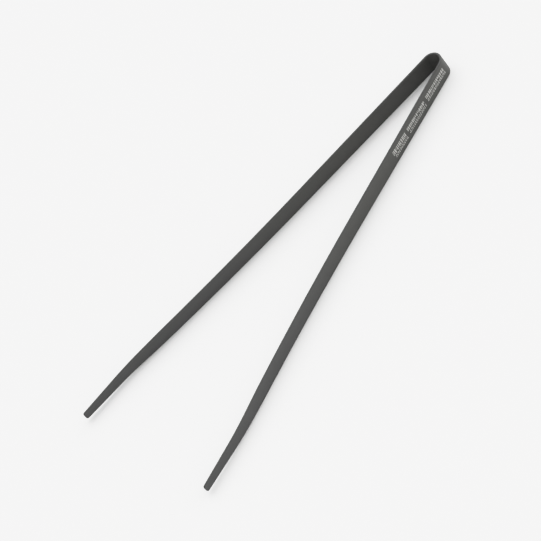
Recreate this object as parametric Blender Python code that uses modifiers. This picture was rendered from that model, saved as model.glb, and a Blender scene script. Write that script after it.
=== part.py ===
"""Strip tongs: a spring steel strip in a soft skin, bent to a narrow bow with two long arms.

The tongs lie on the lower edges of the strip. +Z runs across the strip, the bow is at +Y, the
tips are at -Y and the two arms mirror each other in the plane X = 0. Lengths are in metres.
The strip and its skin are continuous on the real tongs. Here each is split where the bow meets
the arms, so that the arms can turn about the split.
"""

import math

import bmesh
import bpy

# Thicknesses, from the middle of the strip outwards
CORE_THICKNESS = 0.0008
SKIN_CLEARANCE = 0.00005
SKIN_WALL = 0.0003
EDGE_WALL = 0.0006          # the skin past the steel at the upper and lower edges and at the tip

# The strip's route from the middle of the bow to a tip, along its middle surface
BOW_RADIUS = 0.0061
STRAIGHT_LENGTH = 0.1075
CURVED_LENGTH = 0.1225
TAPER_STRAIGHT_LENGTH = 0.0165
TIP_BEND_LENGTH = 0.021
TIP_END_LENGTH = 0.0281
SPREAD_AT_BOW = math.radians(8.8)      # each arm's angle to the middle plane
SPREAD_AT_TAPER = math.radians(11.88)
TIP_TURN = math.radians(4.8)           # how far the tip bends back towards the other one

# The strip's height, from its lower edge to its upper edge
BOW_HEIGHT = 0.0134
TAPER_HEIGHT = 0.0098       # where the edges begin to close in on the tip
TIP_END_HEIGHT = 0.0054

# Rounded edges
EDGE_ROUND = 0.0005
CORE_EDGE_ROUND = 0.0001
TIP_CORNER_ROUND = 0.0016

# The split between the bow and each arm
SPLIT_GAP = 0.0003
STUB = 0.002                # how far each blank runs past the split before it is cut off
BLOCK_SIZE = (0.006, 0.004, 0.027)     # cuts the blank's end off: through it, along it, across it

# Facets along each stretch of the route, and round the edges
STEPS = (12, 5, 14, 2, 9, 3)
SHORTEST_FACET = 0.0003
EDGE_SEGMENTS = 3
TIP_CORNER_SEGMENTS = 4
ROUND_FROM_ANGLE = math.radians(50)    # sharper edges than this are rounded

SKIN_COLOUR = (0.062, 0.063, 0.060, 1.0)
STEEL_COLOUR = (0.56, 0.56, 0.55, 1.0)

STRIP_THICKNESS = CORE_THICKNESS + 2 * (SKIN_CLEARANCE + SKIN_WALL)
SPACE_THICKNESS = CORE_THICKNESS + 2 * SKIN_CLEARANCE
HALF_BOW_LENGTH = BOW_RADIUS * (math.pi / 2 - SPREAD_AT_BOW)
STRETCHES = (
    (HALF_BOW_LENGTH, math.pi / 2, SPREAD_AT_BOW),
    (STRAIGHT_LENGTH, SPREAD_AT_BOW, SPREAD_AT_BOW),
    (CURVED_LENGTH, SPREAD_AT_BOW, SPREAD_AT_TAPER),
    (TAPER_STRAIGHT_LENGTH, SPREAD_AT_TAPER, SPREAD_AT_TAPER),
    (TIP_BEND_LENGTH, SPREAD_AT_TAPER, SPREAD_AT_TAPER - TIP_TURN),
    (TIP_END_LENGTH, SPREAD_AT_TAPER - TIP_TURN, SPREAD_AT_TAPER - TIP_TURN),
)
TAPER_AT = HALF_BOW_LENGTH + STRAIGHT_LENGTH + CURVED_LENGTH
TAPER_LENGTH = TAPER_STRAIGHT_LENGTH + TIP_BEND_LENGTH + TIP_END_LENGTH
STRIP_END = TAPER_AT + TAPER_LENGTH


def run_along(length, first, last):
    """How far a stretch goes in x and y as its heading turns evenly from first to last."""
    turn = last - first
    if abs(turn) < 1e-9:
        return length * math.sin(first), -length * math.cos(first)
    radius = length / turn
    return radius * (math.cos(first) - math.cos(last)), -radius * (math.sin(last) - math.sin(first))


def route(along):
    """The right half's middle surface at a distance from the crown: x, y from the crown, heading."""
    x = 0.0
    y = 0.0
    heading = math.pi / 2
    for length, first, last in STRETCHES:
        part = min(along, length)
        heading = first + (last - first) * part / length
        dx, dy = run_along(part, first, heading)
        x += dx
        y += dy
        along -= part
        if along <= 0:
            break
    return x, y, heading


# The crown's middle surface stands here, so that the origin is midway between crown and tips.
CROWN_Y = (STRIP_THICKNESS / 2 - route(STRIP_END)[1]) / 2 - STRIP_THICKNESS / 2


def place(along, side):
    """A point of the middle surface on the side +1 (right) or -1 (left), and its heading."""
    x, y, heading = route(along)
    return side * x, CROWN_Y + y, heading


def edge_heights(along):
    """The lower and upper edge: flat below down to the taper, then both edges close in."""
    if along <= TAPER_AT:
        high = BOW_HEIGHT + (TAPER_HEIGHT - BOW_HEIGHT) * along / TAPER_AT
        return 0.0, high
    past = along - TAPER_AT
    height = TAPER_HEIGHT + (TIP_END_HEIGHT - TAPER_HEIGHT) * past / TAPER_LENGTH
    fall = (BOW_HEIGHT - TAPER_HEIGHT) / 2 / TAPER_AT
    middle = TAPER_HEIGHT / 2 - fall * past
    return middle - height / 2, middle + height / 2


def stations(start, end):
    """Distances along the strip from start to end, with every facet line between them."""
    found = [start]
    begin = 0.0
    for (length, _, _), steps in zip(STRETCHES, STEPS):
        for i in range(1, steps + 1):
            along = begin + length * i / steps
            if start + SHORTEST_FACET < along < end - SHORTEST_FACET:
                found.append(along)
        begin += length
    found.append(end)
    return found


def material(name, colour, roughness, metallic):
    made = bpy.data.materials.new(name)
    made.use_nodes = True
    shader = made.node_tree.nodes["Principled BSDF"]
    shader.inputs["Base Color"].default_value = colour
    shader.inputs["Roughness"].default_value = roughness
    shader.inputs["Metallic"].default_value = metallic
    made.diffuse_color = colour
    return made


def collection(name):
    made = bpy.data.collections.new(name)
    bpy.context.scene.collection.children.link(made)
    return made


def band(name, group, side, start, end, inset, corner):
    """An upright open band along one arm, its origin on that arm's pivot.

    inset is how far the band stays inside the strip's edges, and corner rounds its tip corners.
    """
    pivot_x, pivot_y, _ = place(HALF_BOW_LENGTH, side)
    bm = bmesh.new()
    low_corner = None
    high_corner = None
    for along in stations(start, end):
        x, y, _ = place(along, side)
        low, high = edge_heights(along)
        low_point = (x - pivot_x, y - pivot_y, low + inset)
        high_point = (x - pivot_x, y - pivot_y, high - inset)
        if low_corner is None:
            low_corner = bm.verts.new(low_point)
            high_corner = bm.verts.new(high_point)
            edge = bm.edges.new((low_corner, high_corner))
            continue
        grown = bmesh.ops.extrude_edge_only(bm, edges=[edge])["geom"]
        edge = next(item for item in grown if isinstance(item, bmesh.types.BMEdge))
        low_corner, high_corner = sorted(edge.verts, key=lambda vert: vert.co.z)
        low_corner.co = low_point
        high_corner.co = high_point
    if corner > 0:
        bmesh.ops.bevel(bm, geom=[low_corner, high_corner], offset=corner, affect="VERTICES",
                        segments=TIP_CORNER_SEGMENTS, profile=0.5, clamp_overlap=False)
    mesh = bpy.data.meshes.new(name)
    bm.to_mesh(mesh)
    bm.free()
    made = bpy.data.objects.new(name, mesh)
    made.location = (pivot_x, pivot_y, 0)
    group.objects.link(made)
    return made


def thicken(piece, thickness):
    solid = piece.modifiers.new("Thickness", "SOLIDIFY")
    solid.thickness = thickness
    solid.offset = 0
    solid.use_even_offset = True


def round_edges(piece, width, segments):
    bevel = piece.modifiers.new("Round edges", "BEVEL")
    bevel.width = width
    bevel.segments = segments
    bevel.limit_method = "ANGLE"
    bevel.angle_limit = ROUND_FROM_ANGLE
    bevel.use_clamp_overlap = False


def cut(piece, cutter):
    boolean = piece.modifiers.new("Cut " + cutter.name, "BOOLEAN")
    boolean.operation = "DIFFERENCE"
    boolean.solver = "EXACT"
    boolean.object = cutter


def as_cutter(piece):
    piece.hide_render = True
    piece.display_type = "WIRE"


def split_block(name, group, side, away):
    """A block that takes a blank's end away, up to half a gap past the split plane.

    away is +1 for the block that lies down the arm and -1 for the one that lies round the bow.
    """
    x, y, heading = place(HALF_BOW_LENGTH, side)
    middle = away * (BLOCK_SIZE[1] - SPLIT_GAP) / 2
    bpy.ops.mesh.primitive_cube_add(size=1)
    block = bpy.context.object
    block.name = name
    for vertex in block.data.vertices:
        for axis in range(3):
            vertex.co[axis] *= BLOCK_SIZE[axis]
    block.location = (x + side * middle * math.sin(heading), y - middle * math.cos(heading),
                      BOW_HEIGHT / 2)
    block.rotation_euler = (0, 0, side * heading)
    for home in list(block.users_collection):
        home.objects.unlink(block)
    group.objects.link(block)
    as_cutter(block)
    return block


def finish(piece, look):
    piece.data.materials.append(look)
    piece.data.shade_smooth()
    piece.data.set_sharp_from_angle(angle=ROUND_FROM_ANGLE)


def make_arm(side, word, parts, cutters, skin_look, steel_look):
    """The steel and the skin of one arm, both cut square at the split."""
    start = HALF_BOW_LENGTH - STUB
    bow_side = split_block(word + "_bow_side", cutters, side, -1)

    space = band(word + "_arm_space", cutters, side, start - STUB, STRIP_END - EDGE_WALL, EDGE_WALL,
                 TIP_CORNER_ROUND - EDGE_WALL)
    thicken(space, SPACE_THICKNESS)
    as_cutter(space)

    skin = band(word + "_arm_skin", parts, side, start, STRIP_END, 0, TIP_CORNER_ROUND)
    thicken(skin, STRIP_THICKNESS)
    round_edges(skin, EDGE_ROUND, EDGE_SEGMENTS)
    cut(skin, space)
    cut(skin, bow_side)
    finish(skin, skin_look)

    inset = EDGE_WALL + SKIN_CLEARANCE
    core = band(word + "_arm_core", parts, side, start, STRIP_END - inset, inset,
                TIP_CORNER_ROUND - inset)
    thicken(core, CORE_THICKNESS)
    round_edges(core, CORE_EDGE_ROUND, 1)
    cut(core, bow_side)
    finish(core, steel_look)


def half_bow(name, group, end, inset, thickness):
    """A band from the crown past the split, mirrored to the other side and thickened."""
    piece = band(name, group, 1, 0, end, inset, 0)
    for vertex in piece.data.vertices:
        vertex.co.x += piece.location.x
    piece.location.x = 0
    mirror = piece.modifiers.new("Mirror", "MIRROR")
    mirror.use_axis = (True, False, False)
    mirror.merge_threshold = 0.00001
    thicken(piece, thickness)
    return piece


def make_bow(parts, cutters, skin_look, steel_look):
    """The steel and the skin of the bow, cut square at both splits."""
    end = HALF_BOW_LENGTH + STUB
    arm_sides = [split_block(word + "_arm_side", cutters, side, 1)
                 for side, word in ((-1, "left"), (1, "right"))]

    space = half_bow("bow_space", cutters, end + STUB, EDGE_WALL, SPACE_THICKNESS)
    as_cutter(space)

    skin = half_bow("bow_skin", parts, end, 0, STRIP_THICKNESS)
    round_edges(skin, EDGE_ROUND, EDGE_SEGMENTS)
    cut(skin, space)

    core = half_bow("bow_core", parts, end, EDGE_WALL + SKIN_CLEARANCE, CORE_THICKNESS)
    round_edges(core, CORE_EDGE_ROUND, 1)

    for block in arm_sides:
        cut(skin, block)
        cut(core, block)
    finish(skin, skin_look)
    finish(core, steel_look)


def main():
    for item in list(bpy.data.objects):
        bpy.data.objects.remove(item, do_unlink=True)
    parts = collection("strip_tongs")
    cutters = collection("cutters")
    skin_look = material("charcoal_skin", SKIN_COLOUR, 0.55, 0.0)
    steel_look = material("spring_steel", STEEL_COLOUR, 0.32, 1.0)
    make_bow(parts, cutters, skin_look, steel_look)
    for side, word in ((-1, "left"), (1, "right")):
        make_arm(side, word, parts, cutters, skin_look, steel_look)


main()
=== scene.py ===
import math
import random

import bmesh
import bpy
from mathutils import Matrix, Vector


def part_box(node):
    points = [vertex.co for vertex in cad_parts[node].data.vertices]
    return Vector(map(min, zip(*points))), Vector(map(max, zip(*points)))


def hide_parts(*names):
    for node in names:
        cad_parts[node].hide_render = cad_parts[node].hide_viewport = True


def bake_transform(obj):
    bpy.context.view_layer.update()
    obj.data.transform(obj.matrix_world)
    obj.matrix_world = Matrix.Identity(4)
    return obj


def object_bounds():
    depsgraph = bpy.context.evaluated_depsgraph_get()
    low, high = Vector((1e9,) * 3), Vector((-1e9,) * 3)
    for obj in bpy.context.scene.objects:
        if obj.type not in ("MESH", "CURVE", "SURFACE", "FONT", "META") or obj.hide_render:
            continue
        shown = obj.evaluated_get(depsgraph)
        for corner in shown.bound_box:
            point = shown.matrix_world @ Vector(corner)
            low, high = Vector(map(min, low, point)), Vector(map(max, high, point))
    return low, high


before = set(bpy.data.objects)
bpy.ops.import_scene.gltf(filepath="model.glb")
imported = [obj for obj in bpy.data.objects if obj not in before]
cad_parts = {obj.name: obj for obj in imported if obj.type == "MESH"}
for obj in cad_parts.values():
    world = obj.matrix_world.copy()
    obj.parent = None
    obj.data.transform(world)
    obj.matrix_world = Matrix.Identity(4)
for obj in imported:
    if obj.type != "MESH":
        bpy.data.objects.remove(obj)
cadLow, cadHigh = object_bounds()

scene = bpy.context.scene
upAxis = Vector((0, 0, 1))
mergeWithin = 1e-7          # points nearer than this are one point
leastTurn = 1e-9            # a stretch that turns by less runs straight

# Camera: a long lens, high on the right of the tongs and rolled, so that the bow is at the top right
camera = {
    "turn": math.radians(74.13),
    "rise": math.radians(46.85),
    "roll": math.radians(-40.82),
    "distance": 2.0,
    "lens": 224.6,
    "aimDownArms": 0.150,      # from the crown towards the tips
    "aimAside": -0.01587,      # along the view's width
    "aimUp": -0.00584,         # along the view's height
    "sensor": 36,
    "nearest": 0.05,
    "farthest": 50,
}

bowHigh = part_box("bow_skin")[1]


def addCamera():
    turn = camera["turn"]
    rise = camera["rise"]
    back = Vector((math.sin(turn) * math.cos(rise), -math.cos(turn) * math.cos(rise), math.sin(rise)))
    level = Vector((math.cos(turn), math.sin(turn), 0))
    upright = back.cross(level)
    across = math.cos(camera["roll"]) * level + math.sin(camera["roll"]) * upright
    upward = math.cos(camera["roll"]) * upright - math.sin(camera["roll"]) * level
    crown = Vector((0, bowHigh.y - strip["thickness"] / 2, 0))
    aim = crown - camera["aimDownArms"] * Vector((0, 1, 0))
    aim += camera["aimAside"] * across + camera["aimUp"] * upward
    place = aim + camera["distance"] * back
    data = bpy.data.cameras.new("camera")
    data.lens = camera["lens"]
    data.sensor_width = camera["sensor"]
    data.clip_start = camera["nearest"]
    data.clip_end = camera["farthest"]
    made = bpy.data.objects.new("camera", data)
    scene.collection.objects.link(made)
    made.matrix_world = Matrix((
        (across.x, upward.x, back.x, place.x),
        (across.y, upward.y, back.y, place.y),
        (across.z, upward.z, back.z, place.z),
        (0, 0, 0, 1),
    ))
    scene.camera = made


# The strip's own sizes, the same as the solid model's
strip = {
    "thickness": 0.0015,
    "bowRadius": 0.0061,
    "straight": 0.1075,
    "curved": 0.1225,
    "taperStraight": 0.0165,
    "tipBend": 0.021,
    "tipEnd": 0.0281,
    "spreadAtBow": math.radians(8.8),
    "spreadAtTaper": math.radians(11.88),
    "tipTurn": math.radians(4.8),
    "heightAtBow": 0.0134,
    "heightAtTaper": 0.0098,
    "heightAtTip": 0.0054,
    "edgeRound": 0.0005,
    "edgeSteps": 6,
    "tipCorner": 0.0016,
    "tipCornerSteps": 8,
    "faceLine": 0.00075,        # how far from each edge a line of points keeps the broad faces flat
    "hingeRun": 0.006,          # the start of the straight, where the skin bends as the arm moves
}
bowTurn = math.pi / 2 - strip["spreadAtBow"]
bowLength = strip["bowRadius"] * bowTurn
seamTurn = math.radians(0.2)    # a first short step, so that the two halves shade alike at the crown
seamLength = strip["bowRadius"] * seamTurn
tipHeading = strip["spreadAtTaper"] - strip["tipTurn"]
taperAt = bowLength + strip["straight"] + strip["curved"]
stripEnd = taperAt + strip["taperStraight"] + strip["tipBend"] + strip["tipEnd"]

# length, heading at its start and end, steps; a heading is measured outwards from straight down the arm
stretches = (
    (seamLength, math.pi / 2, math.pi / 2 - seamTurn, 1),
    (bowLength - seamLength, math.pi / 2 - seamTurn, strip["spreadAtBow"], 58),
    (strip["hingeRun"], strip["spreadAtBow"], strip["spreadAtBow"], 12),
    (strip["straight"] - strip["hingeRun"], strip["spreadAtBow"], strip["spreadAtBow"], 22),
    (strip["curved"], strip["spreadAtBow"], strip["spreadAtTaper"], 30),
    (strip["taperStraight"], strip["spreadAtTaper"], strip["spreadAtTaper"], 4),
    (strip["tipBend"], strip["spreadAtTaper"], tipHeading, 20),
    (strip["tipEnd"] - strip["tipCorner"], tipHeading, tipHeading, 6),
    (strip["tipCorner"], tipHeading, tipHeading, strip["tipCornerSteps"]),
)


def alongArm(heading):
    return Vector((math.sin(heading), -math.cos(heading), 0))


def outOfArm(heading):
    return Vector((math.cos(heading), math.sin(heading), 0))


def edgeHeights(along):
    # flat below and falling above down to the taper, then both edges close in on the tip
    if along <= taperAt:
        fall = (strip["heightAtBow"] - strip["heightAtTaper"]) * along / taperAt
        return 0.0, strip["heightAtBow"] - fall
    past = along - taperAt
    share = past / (stripEnd - taperAt)
    height = strip["heightAtTaper"] + (strip["heightAtTip"] - strip["heightAtTaper"]) * share
    drop = (strip["heightAtBow"] - strip["heightAtTaper"]) / 2 / taperAt * past
    middle = strip["heightAtTaper"] / 2 - drop
    return middle - height / 2, middle + height / 2


def sectionRim(bm):
    # the strip's outline at the crown, a rectangle with rounded corners
    bmesh.ops.create_grid(bm, x_segments=1, y_segments=1, size=0.5)
    bmesh.ops.scale(bm, vec=(strip["heightAtBow"], strip["thickness"], 1), verts=bm.verts)
    bmesh.ops.bevel(bm, geom=bm.verts[:], offset=strip["edgeRound"], segments=strip["edgeSteps"],
                    profile=0.5, affect="VERTICES", material=-1)
    bmesh.ops.rotate(bm, cent=(0, 0, 0), matrix=Matrix.Rotation(math.pi / 2, 3, "Y"), verts=bm.verts)
    middle = Vector((0, bowHigh.y - strip["thickness"] / 2, strip["heightAtBow"] / 2))
    bmesh.ops.translate(bm, vec=middle, verts=bm.verts)
    for height in (strip["faceLine"], strip["heightAtBow"] - strip["faceLine"]):
        everything = bm.verts[:] + bm.edges[:] + bm.faces[:]
        bmesh.ops.bisect_plane(bm, geom=everything, dist=mergeWithin, plane_co=(0, 0, height),
                               plane_no=upAxis)
    inner = [edge for edge in bm.edges if len(edge.link_faces) == 2]
    bmesh.ops.delete(bm, geom=inner, context="EDGES_FACES")
    return bm.edges[:]


def sweepStrip(bm, rim):
    # carries the rim round the bow and down the right arm, and notes where each ring stands
    place = Vector((0, bowHigh.y - strip["thickness"] / 2, 0))
    rings = [(0.0, place.copy(), math.pi / 2)]
    along = 0.0
    for length, first, last, steps in stretches:
        turn = last - first
        step = Vector((0, 0, 0))
        centre = place.copy()
        if abs(turn) < leastTurn:
            step = alongArm(first) * length / steps
        else:
            centre = place + outOfArm(first) * length / turn
        swept = bmesh.ops.spin(bm, geom=rim, cent=centre, axis=upAxis, dvec=step, angle=turn, steps=steps,
                               use_merge=False, use_duplicate=False)
        rim = [item for item in swept["geom_last"] if isinstance(item, bmesh.types.BMEdge)]
        start = place.copy()
        for number in range(1, steps + 1):
            heading = first + turn * number / steps
            if abs(turn) < leastTurn:
                place = start + step * number
            else:
                place = centre + Matrix.Rotation(turn * number / steps, 3, "Z") @ (start - centre)
            rings.append((along + length * number / steps, place.copy(), heading))
        along += length
    return rim, rings


def shapeStrip(bm, rings, pointsRound):
    # each half of the section follows its own edge, so that the rounding keeps its size
    alongLayer = bm.verts.layers.float.new("alongStrip")
    acrossLayer = bm.verts.layers.float.new("acrossStrip")
    bm.verts.ensure_lookup_table()
    cornerStart = stripEnd - strip["tipCorner"]
    for vertex in bm.verts:
        along, place, heading = rings[vertex.index // pointsRound]
        low, high = edgeHeights(along)
        upper = vertex.co.z > strip["heightAtBow"] / 2
        if upper:
            vertex.co.z += high - strip["heightAtBow"]
        else:
            vertex.co.z += low
        vertex[alongLayer] = along
        vertex[acrossLayer] = (vertex.co.z - low) / (high - low)
        if along > cornerStart + mergeWithin:
            # the tip's corners and edges close on quarter circles
            angle = (along - cornerStart) / strip["tipCorner"] * math.pi / 2
            toEnd = strip["tipCorner"] * (1 - math.sin(angle))
            cornerIn = strip["tipCorner"] * (1 - math.cos(angle))
            vertex.co.z += -cornerIn if upper else cornerIn
            offset = (vertex.co - place).dot(outOfArm(heading))
            if toEnd < strip["edgeRound"]:
                rounded = math.sqrt(strip["edgeRound"] ** 2 - (strip["edgeRound"] - toEnd) ** 2)
                edgeIn = strip["edgeRound"] - rounded
                vertex.co -= outOfArm(heading) * offset * edgeIn / (strip["thickness"] / 2)
            vertex.co += alongArm(heading) * (stripEnd - toEnd - along)


def finishPiece(bm, name, look):
    mesh = bpy.data.meshes.new(name)
    bm.to_mesh(mesh)
    bm.free()
    mesh.materials.append(look)
    made = bpy.data.objects.new(name, mesh)
    scene.collection.objects.link(made)
    return made


def makeHalfSkin(name, side, look):
    bm = bmesh.new()
    crownRim = sectionRim(bm)
    pointsRound = len(crownRim)
    tipRim, rings = sweepStrip(bm, crownRim)
    bm.verts.index_update()
    shapeStrip(bm, rings, pointsRound)
    for rim in (crownRim, tipRim):
        bmesh.ops.edgeloop_fill(bm, edges=rim)
    bmesh.ops.scale(bm, vec=(side, 1, 1), verts=bm.verts)
    bmesh.ops.remove_doubles(bm, verts=bm.verts, dist=mergeWithin)
    bmesh.ops.recalc_face_normals(bm, faces=bm.faces)
    for face in bm.faces:
        face.smooth = True
    for edge in bm.edges:
        if all(abs(vertex.co.x) < mergeWithin for vertex in edge.verts):
            edge.smooth = False
    return finishPiece(bm, name, look)


# Print: plain bars over plain broken rules in three groups, no letters
prints = {
    "proud": 0.00002,
    "sunk": 0.00006,
    "cornerRound": 0.00012,
    "cornerSteps": 3,
    "bar": (0.0003, 0.0011),         # a bar's least and greatest width along the arm
    "gap": (0.0003, 0.0007),
    "short": 0.0007,                 # how much is missing from a short bar
    "dash": (0.0006, 0.0015),
    "dashGap": (0.0003, 0.0006),
    "rulesBefore": 0.0004,           # how far the rules start before the bars
    "rulesShort": 0.0006,            # and how far they end before them
    # each group's start and end along the strip, its bars' lower and upper ends, its rules' heights
    "groups": (
        (0.0093, 0.0310, 0.0072, 0.0096, (0.0049, 0.0060)),
        (0.0334, 0.0540, 0.0068, 0.0092, (0.0043, 0.0055)),
        (0.0566, 0.0714, 0.0062, 0.0095, (0.0039, 0.0050)),
    ),
    "ruleHeight": 0.0006,
    "seed": 5,
}


def addMark(bm, start, end, low, high):
    # one printed bar on the right arm's outer face, its corners rounded
    heading = strip["spreadAtBow"]
    bowEnd = outOfArm(heading) * strip["bowRadius"]
    bowCentre = Vector((0, bowHigh.y - strip["thickness"] / 2 - strip["bowRadius"], 0))
    face = bowCentre + bowEnd + outOfArm(heading) * strip["thickness"] / 2
    middle = (prints["proud"] - prints["sunk"]) / 2
    centre = face + alongArm(heading) * ((start + end) / 2 - bowLength) + outOfArm(heading) * middle
    centre.z = (low + high) / 2
    size = Vector((prints["proud"] + prints["sunk"], end - start, high - low))
    made = bmesh.ops.create_cube(bm, size=1)["verts"]
    bmesh.ops.scale(bm, vec=size, verts=made)
    corners = [edge for edge in bm.edges
               if edge.verts[0] in made and abs(edge.verts[0].co.x - edge.verts[1].co.x) > size.x / 2]
    rounded = bmesh.ops.bevel(bm, geom=corners, offset=min(prints["cornerRound"], size.y / 3, size.z / 3),
                              segments=prints["cornerSteps"], profile=0.5, affect="EDGES", material=-1)
    made = {vertex for vertex in made if vertex.is_valid} | set(rounded["verts"])
    bmesh.ops.rotate(bm, cent=(0, 0, 0), matrix=Matrix.Rotation(heading, 3, "Z"), verts=list(made))
    bmesh.ops.translate(bm, vec=centre, verts=list(made))


def makePrint(look):
    bm = bmesh.new()
    draw = random.Random(prints["seed"])
    for start, end, low, high, rules in prints["groups"]:
        along = start
        while along < end:
            width = min(draw.uniform(*prints["bar"]), end - along)
            if width > prints["bar"][0] / 2:
                # about one bar in four is short
                cut = draw.choice((0, 0, 0, 1)) * prints["short"]
                addMark(bm, along, along + width, low + cut, high)
            along += width + draw.uniform(*prints["gap"])
        for middle in rules:
            along = start - prints["rulesBefore"]
            while along < end - prints["rulesShort"]:
                width = min(draw.uniform(*prints["dash"]), end - prints["rulesShort"] - along)
                if width > prints["dash"][0] / 2:
                    addMark(bm, along, along + width, middle - prints["ruleHeight"] / 2,
                            middle + prints["ruleHeight"] / 2)
                along += width + draw.uniform(*prints["dashGap"])
    return finishPiece(bm, "printMarks", look)


# Materials
noiseSpan = (0.3, 0.7)      # where nearly all of a noise's values lie


def newMaterial(name):
    made = bpy.data.materials.new(name)
    made.use_nodes = True
    tree = made.node_tree
    return made, tree, tree.nodes["Principled BSDF"]


def addNode(tree, kind, place, **values):
    node = tree.nodes.new(kind)
    node.location = place
    for key, value in values.items():
        setattr(node, key, value)
    return node


grainShape = {
    "detail": 3,
    "roughness": 0.65,
    "mottleDetail": 4,
    "mottleRoughness": 0.55,
    "pitShare": 0.45,
}


def makeGrainGroup():
    # fine grain for bump, and a slow mottle for colour and gloss
    tree = bpy.data.node_groups.new("fineGrain", "ShaderNodeTree")
    tree.interface.new_socket(name="Vector", in_out="INPUT", socket_type="NodeSocketVector")
    for name in ("Grain", "Mottle"):
        tree.interface.new_socket(name=name, in_out="INPUT", socket_type="NodeSocketFloat")
    tree.interface.new_socket(name="Height", in_out="OUTPUT", socket_type="NodeSocketFloat")
    tree.interface.new_socket(name="Tone", in_out="OUTPUT", socket_type="NodeSocketFloat")
    put = addNode(tree, "NodeGroupInput", (-600, 0))
    out = addNode(tree, "NodeGroupOutput", (400, 0))
    grain = addNode(tree, "ShaderNodeTexNoise", (-300, 150))
    grain.inputs["Detail"].default_value = grainShape["detail"]
    grain.inputs["Roughness"].default_value = grainShape["roughness"]
    pits = addNode(tree, "ShaderNodeTexVoronoi", (-300, -120))
    mottle = addNode(tree, "ShaderNodeTexNoise", (-300, -400))
    mottle.inputs["Detail"].default_value = grainShape["mottleDetail"]
    mottle.inputs["Roughness"].default_value = grainShape["mottleRoughness"]
    blend = addNode(tree, "ShaderNodeMath", (100, 100), operation="MULTIPLY_ADD")
    blend.inputs[1].default_value = grainShape["pitShare"]
    for node in (grain, pits, mottle):
        tree.links.new(put.outputs["Vector"], node.inputs["Vector"])
    for node, name in ((grain, "Grain"), (pits, "Grain"), (mottle, "Mottle")):
        tree.links.new(put.outputs[name], node.inputs["Scale"])
    tree.links.new(pits.outputs["Distance"], blend.inputs[0])
    tree.links.new(grain.outputs["Fac"], blend.inputs[2])
    tree.links.new(blend.outputs[0], out.inputs["Height"])
    tree.links.new(mottle.outputs["Fac"], out.inputs["Tone"])
    return tree


def useGrain(tree, grainGroup, look):
    place = addNode(tree, "ShaderNodeTexCoord", (-1400, 0))
    node = addNode(tree, "ShaderNodeGroup", (-1200, 0), node_tree=grainGroup)
    node.inputs["Grain"].default_value = look["grain"]
    node.inputs["Mottle"].default_value = look["mottle"]
    tree.links.new(place.outputs["Object"], node.inputs["Vector"])
    return node


def addBump(tree, shader, height, look):
    node = addNode(tree, "ShaderNodeBump", (-450, -350))
    node.inputs["Strength"].default_value = look["bump"]
    node.inputs["Distance"].default_value = look["bumpDepth"]
    tree.links.new(height, node.inputs["Height"])
    tree.links.new(node.outputs["Normal"], shader.inputs["Normal"])


def mixColours(tree, place, factor, first, second, mode="MIX"):
    # first and second are colours or sockets; factor is a number or a socket
    node = addNode(tree, "ShaderNodeMix", place, data_type="RGBA", blend_type=mode)
    for socket, value in ((node.inputs[0], factor), (node.inputs[6], first), (node.inputs[7], second)):
        if isinstance(value, bpy.types.NodeSocket):
            tree.links.new(value, socket)
        else:
            socket.default_value = value
    return node.outputs[2]


def rangeOf(tree, place, socket, span, outSpan, smooth=False):
    node = addNode(tree, "ShaderNodeMapRange", place)
    if smooth:
        node.interpolation_type = "SMOOTHSTEP"
    tree.links.new(socket, node.inputs["Value"])
    for name, value in zip(("From Min", "From Max", "To Min", "To Max"), (*span, *outSpan)):
        node.inputs[name].default_value = value
    return node.outputs["Result"]


skin = {
    "nearBow": (0.0500, 0.0499, 0.0465, 1),
    "downArm": (0.0492, 0.0492, 0.0489, 1),
    # painted shade: the colour of the rounded upper and lower edges, darker than the faces
    "edge": (0.0296, 0.0296, 0.0287, 1),
    "rubbed": (0.0713, 0.0705, 0.0679, 1),
    "drift": (0.09, 0.22),           # where the colour changes along the strip
    "toneSwing": (0.90, 1.10),
    "edgeShadeFrom": (0.470, 0.496),      # from the strip's middle, as a share of its height
    "cornerFrom": (0.440, 0.472),    # the same
    "patches": (0.52, 0.68),         # the mottle's values where rubbed patches come in
    "mostRubbed": 0.35,
    "roughness": (0.56, 0.68),
    "specular": 0.4,
    "bump": 0.35,
    "bumpDepth": 0.00003,
    "grain": 5200.0,
    "mottle": 240.0,
}


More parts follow.
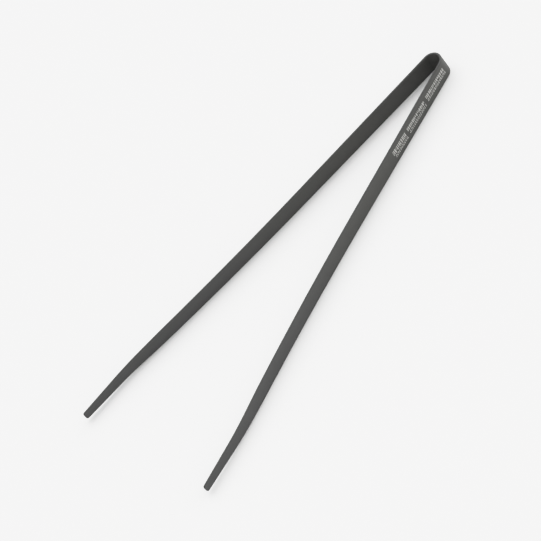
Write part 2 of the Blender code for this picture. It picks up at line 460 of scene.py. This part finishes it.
def makeSkinLook(grainGroup):
    made, tree, shader = newMaterial("charcoalSkin")
    grain = useGrain(tree, grainGroup, skin)
    along = addNode(tree, "ShaderNodeAttribute", (-1400, 400), attribute_name="alongStrip")
    across = addNode(tree, "ShaderNodeAttribute", (-1400, 700), attribute_name="acrossStrip")
    drift = rangeOf(tree, (-1000, 400), along.outputs["Fac"], skin["drift"], (0, 1), smooth=True)
    base = mixColours(tree, (-700, 300), drift, skin["nearBow"], skin["downArm"])
    tone = rangeOf(tree, (-1000, 0), grain.outputs["Tone"], noiseSpan, skin["toneSwing"])
    toned = mixColours(tree, (-450, 250), 1.0, base, tone, "MULTIPLY")
    # painted shade darkens the rounded edges against the faces, with faint rubbed patches at the corners
    fromMiddle = addNode(tree, "ShaderNodeMath", (-1000, 700), operation="SUBTRACT")
    fromMiddle.inputs[1].default_value = 0.5
    tree.links.new(across.outputs["Fac"], fromMiddle.inputs[0])
    size = addNode(tree, "ShaderNodeMath", (-850, 700), operation="ABSOLUTE")
    tree.links.new(fromMiddle.outputs[0], size.inputs[0])
    # mask of the painted shade on the rounded edges
    edge = rangeOf(tree, (-650, 700), size.outputs[0], skin["edgeShadeFrom"], (0, 1), smooth=True)
    edgeShaded = mixColours(tree, (-200, 350), edge, toned, skin["edge"])
    corner = rangeOf(tree, (-650, 950), size.outputs[0], skin["cornerFrom"], (0, 1), smooth=True)
    patch = rangeOf(tree, (-650, 1200), grain.outputs["Tone"], skin["patches"], (0, skin["mostRubbed"]))
    notEdge = addNode(tree, "ShaderNodeMath", (-450, 1100), operation="SUBTRACT", use_clamp=True)
    tree.links.new(corner, notEdge.inputs[0])
    tree.links.new(edge, notEdge.inputs[1])
    rub = addNode(tree, "ShaderNodeMath", (-250, 1000), operation="MULTIPLY")
    tree.links.new(notEdge.outputs[0], rub.inputs[0])
    tree.links.new(patch, rub.inputs[1])
    colour = mixColours(tree, (0, 350), rub.outputs[0], edgeShaded, skin["rubbed"])
    tree.links.new(colour, shader.inputs["Base Color"])
    gloss = rangeOf(tree, (-450, -100), grain.outputs["Tone"], noiseSpan, skin["roughness"])
    tree.links.new(gloss, shader.inputs["Roughness"])
    shader.inputs["Specular IOR Level"].default_value = skin["specular"]
    addBump(tree, shader, grain.outputs["Height"], skin)
    return made


ink = {
    "worn": (0.16, 0.16, 0.152, 1),
    "full": (0.43, 0.43, 0.41, 1),
    "cover": (0.32, 0.55),
    "roughness": (0.6, 0.5),
    "bump": 0.3,
    "bumpDepth": 0.00001,
    "grain": 6500.0,
    "mottle": 1500.0,
}


def makeInkLook(grainGroup):
    made, tree, shader = newMaterial("paleInk")
    grain = useGrain(tree, grainGroup, ink)
    cover = rangeOf(tree, (-900, 100), grain.outputs["Tone"], ink["cover"], (0, 1), smooth=True)
    colour = mixColours(tree, (-600, 100), cover, ink["worn"], ink["full"])
    tree.links.new(colour, shader.inputs["Base Color"])
    gloss = rangeOf(tree, (-600, -150), grain.outputs["Tone"], noiseSpan, ink["roughness"])
    tree.links.new(gloss, shader.inputs["Roughness"])
    addBump(tree, shader, grain.outputs["Height"], ink)
    return made


steel = {
    "dark": (0.42, 0.42, 0.41, 1),
    "bright": (0.62, 0.62, 0.60, 1),
    "heatTint": (0.58, 0.54, 0.46, 1),
    "brushing": 5200,
    "brushDetail": 2,
    "brushStretch": (1, 0.02, 1),
    "roughness": (0.28, 0.42),
    "bump": 0.25,
    "bumpDepth": 0.00001,
    "grain": 3500.0,
    "mottle": 90.0,
}


def makeSteelLook(grainGroup):
    # brushed along the strip, with faint heat-treatment colour
    made, tree, shader = newMaterial("springSteel")
    grain = useGrain(tree, grainGroup, steel)
    place = addNode(tree, "ShaderNodeTexCoord", (-1400, -300))
    stretch = addNode(tree, "ShaderNodeMapping", (-1200, -300))
    stretch.inputs["Scale"].default_value = steel["brushStretch"]
    tree.links.new(place.outputs["Object"], stretch.inputs["Vector"])
    brushed = addNode(tree, "ShaderNodeTexNoise", (-1000, -300))
    brushed.inputs["Scale"].default_value = steel["brushing"]
    brushed.inputs["Detail"].default_value = steel["brushDetail"]
    tree.links.new(stretch.outputs["Vector"], brushed.inputs["Vector"])
    colour = mixColours(tree, (-600, 100), brushed.outputs["Fac"], steel["dark"], steel["bright"])
    tinted = mixColours(tree, (-350, 100), grain.outputs["Tone"], colour, steel["heatTint"], "MULTIPLY")
    tree.links.new(tinted, shader.inputs["Base Color"])
    shader.inputs["Metallic"].default_value = 1
    gloss = rangeOf(tree, (-600, -150), brushed.outputs["Fac"], noiseSpan, steel["roughness"])
    tree.links.new(gloss, shader.inputs["Roughness"])
    addBump(tree, shader, brushed.outputs["Fac"], steel)
    return made


studio = {
    "floorSize": 6.0,
    "floorColour": (0.80, 0.80, 0.797, 1),
    "floorRoughness": 0.9,
    "floorSpecular": 0.1,
    "skyColour": (1.0, 1.0, 0.998, 1),
    "skyStrength": 0.300,
    # name, where it stands seen from the tongs, strength, how wide it looks
    "lamps": (
        ("key", Vector((-0.55, 0.20, 0.81)), 0.78, math.radians(60)),
        ("fill", Vector((-0.02, 0.64, 0.77)), 0.31, math.radians(60)),
        ("side", Vector((0.09, 0.97, 0.21)), 0.76, math.radians(50)),
    ),
    # the film's curve from light in the room to tone in the view, soft in the whites
    "tone": ((0, 0), (0.05, 0.146), (0.1, 0.292), (0.15, 0.43), (0.2, 0.565), (0.25, 0.69), (0.3, 0.775),
             (0.35, 0.82), (0.4, 0.858), (0.45, 0.887), (0.5, 0.913), (0.6, 0.937), (0.8, 0.97), (1, 1)),
}


def addStudio():
    bm = bmesh.new()
    bmesh.ops.create_grid(bm, x_segments=1, y_segments=1, size=studio["floorSize"] / 2)
    bmesh.ops.translate(bm, vec=(0, 0, cadLow.z), verts=bm.verts)
    look, _, shader = newMaterial("paleFloor")
    shader.inputs["Base Color"].default_value = studio["floorColour"]
    shader.inputs["Roughness"].default_value = studio["floorRoughness"]
    shader.inputs["Specular IOR Level"].default_value = studio["floorSpecular"]
    finishPiece(bm, "floor", look)
    world = bpy.data.worlds.new("paleRoom")
    world.use_nodes = True
    sky = world.node_tree.nodes["Background"]
    sky.inputs["Color"].default_value = studio["skyColour"]
    sky.inputs["Strength"].default_value = studio["skyStrength"]
    scene.world = world
    for name, source, strength, width in studio["lamps"]:
        data = bpy.data.lights.new(name, "SUN")
        data.energy = strength
        data.angle = width
        lamp = bpy.data.objects.new(name, data)
        lamp.rotation_mode = "QUATERNION"
        lamp.rotation_quaternion = source.to_track_quat("Z", "Y")
        scene.collection.objects.link(lamp)
    scene.view_settings.view_transform = "Standard"
    scene.view_settings.use_curve_mapping = True
    mapping = scene.view_settings.curve_mapping
    curve = mapping.curves[3]
    curve.points[0].location = studio["tone"][0]
    curve.points[1].location = studio["tone"][-1]
    for place in studio["tone"][1:-1]:
        curve.points.new(*place)
    mapping.update()


print("camera")
addCamera()

print("materials")
grainGroup = makeGrainGroup()
skinLook = makeSkinLook(grainGroup)
inkLook = makeInkLook(grainGroup)
steelLook = makeSteelLook(grainGroup)
for name in ("bow_core", "left_arm_core", "right_arm_core"):
    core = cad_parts[name]
    core.data.materials.clear()
    core.data.materials.append(steelLook)

print("skin")
# one half of the skin for each arm, shown in place of the model's arm skin and bow skin
for side, word in ((-1, "left"), (1, "right")):
    piece = makeHalfSkin(word + "Skin", side, skinLook)
    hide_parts(word + "_arm_skin", "bow_skin")
    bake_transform(piece)

print("print")
marks = makePrint(inkLook)
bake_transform(marks)

print("studio")
addStudio()
